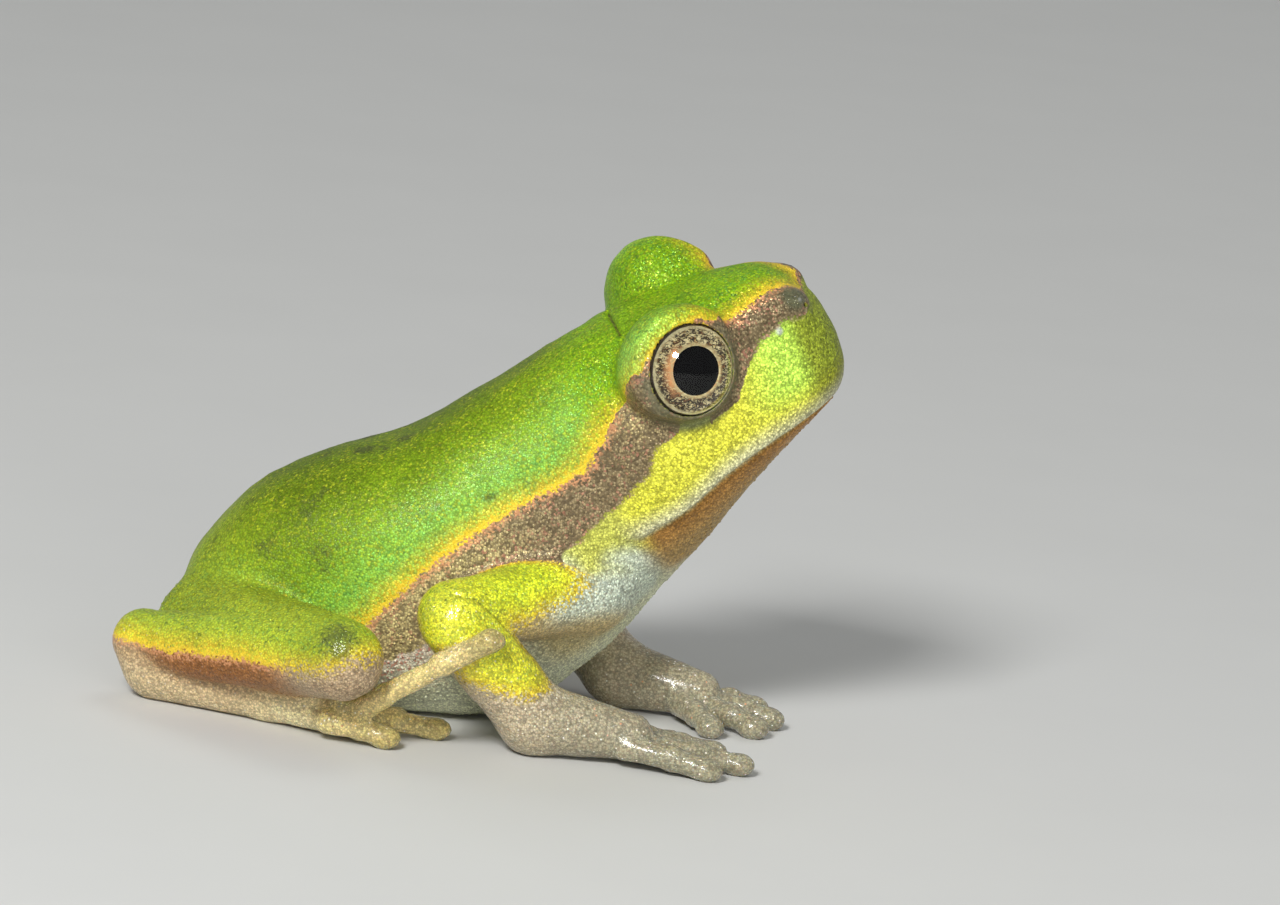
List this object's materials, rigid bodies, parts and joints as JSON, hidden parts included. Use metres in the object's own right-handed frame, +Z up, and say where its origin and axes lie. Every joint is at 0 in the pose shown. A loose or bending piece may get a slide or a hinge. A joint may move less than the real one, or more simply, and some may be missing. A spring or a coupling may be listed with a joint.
{
  "type": "tree frog",
  "caption": "Young tree frog sitting up on folded hind legs with its head raised, a dark stripe from nostril to groin, and a hind toe resting on its elbow.",
  "frame": {"origin": "middle of the frog's outline on the floor it sits on", "axes": "+X ahead, towards the snout; +Y to the frog's left; +Z up"},
  "size_m": [0.0178, 0.0144, 0.0125],
  "materials": {
    "skin_green": "moist, fine glittering grain, yellow-green",
    "skin_pale": "moist, translucent beige with small bright flecks",
    "skin_throat": "moist, cream to orange-brown, finely granular",
    "eye": "wet gloss, round black pupil in a mottled gold and brown iris"
  },
  "bodies": {
    "root": {"trunk": "skin_green", "head": "skin_green", "lower_jaw": "skin_throat", "eyelid_left": "skin_green", "eyelid_right": "skin_green", "eye_left": "eye", "eye_right": "eye", "upper_arm_left": "skin_green", "forearm_left": "skin_green", "thigh_left": "skin_green", "shank_left": "skin_green", "hand_left": "skin_pale", "tarsus_left": "skin_pale", "foot_left": "skin_pale", "finger_1_left": "skin_pale", "finger_2_left": "skin_pale", "finger_3_left": "skin_pale", "finger_4_left": "skin_pale", "toe_1_left": "skin_pale", "toe_2_left": "skin_pale", "toe_3_left": "skin_pale", "toe_4_left": "skin_pale", "toe_5_left": "skin_pale", "upper_arm_right": "skin_green", "forearm_right": "skin_green", "thigh_right": "skin_green", "shank_right": "skin_green", "hand_right": "skin_pale", "tarsus_right": "skin_pale", "foot_right": "skin_pale", "finger_1_right": "skin_pale", "finger_2_right": "skin_pale", "finger_3_right": "skin_pale", "finger_4_right": "skin_pale", "toe_1_right": "skin_pale", "toe_2_right": "skin_pale", "toe_3_right": "skin_pale", "toe_4_right": "skin_pale", "toe_5_right": "skin_pale"}
  },
  "joints": []
}
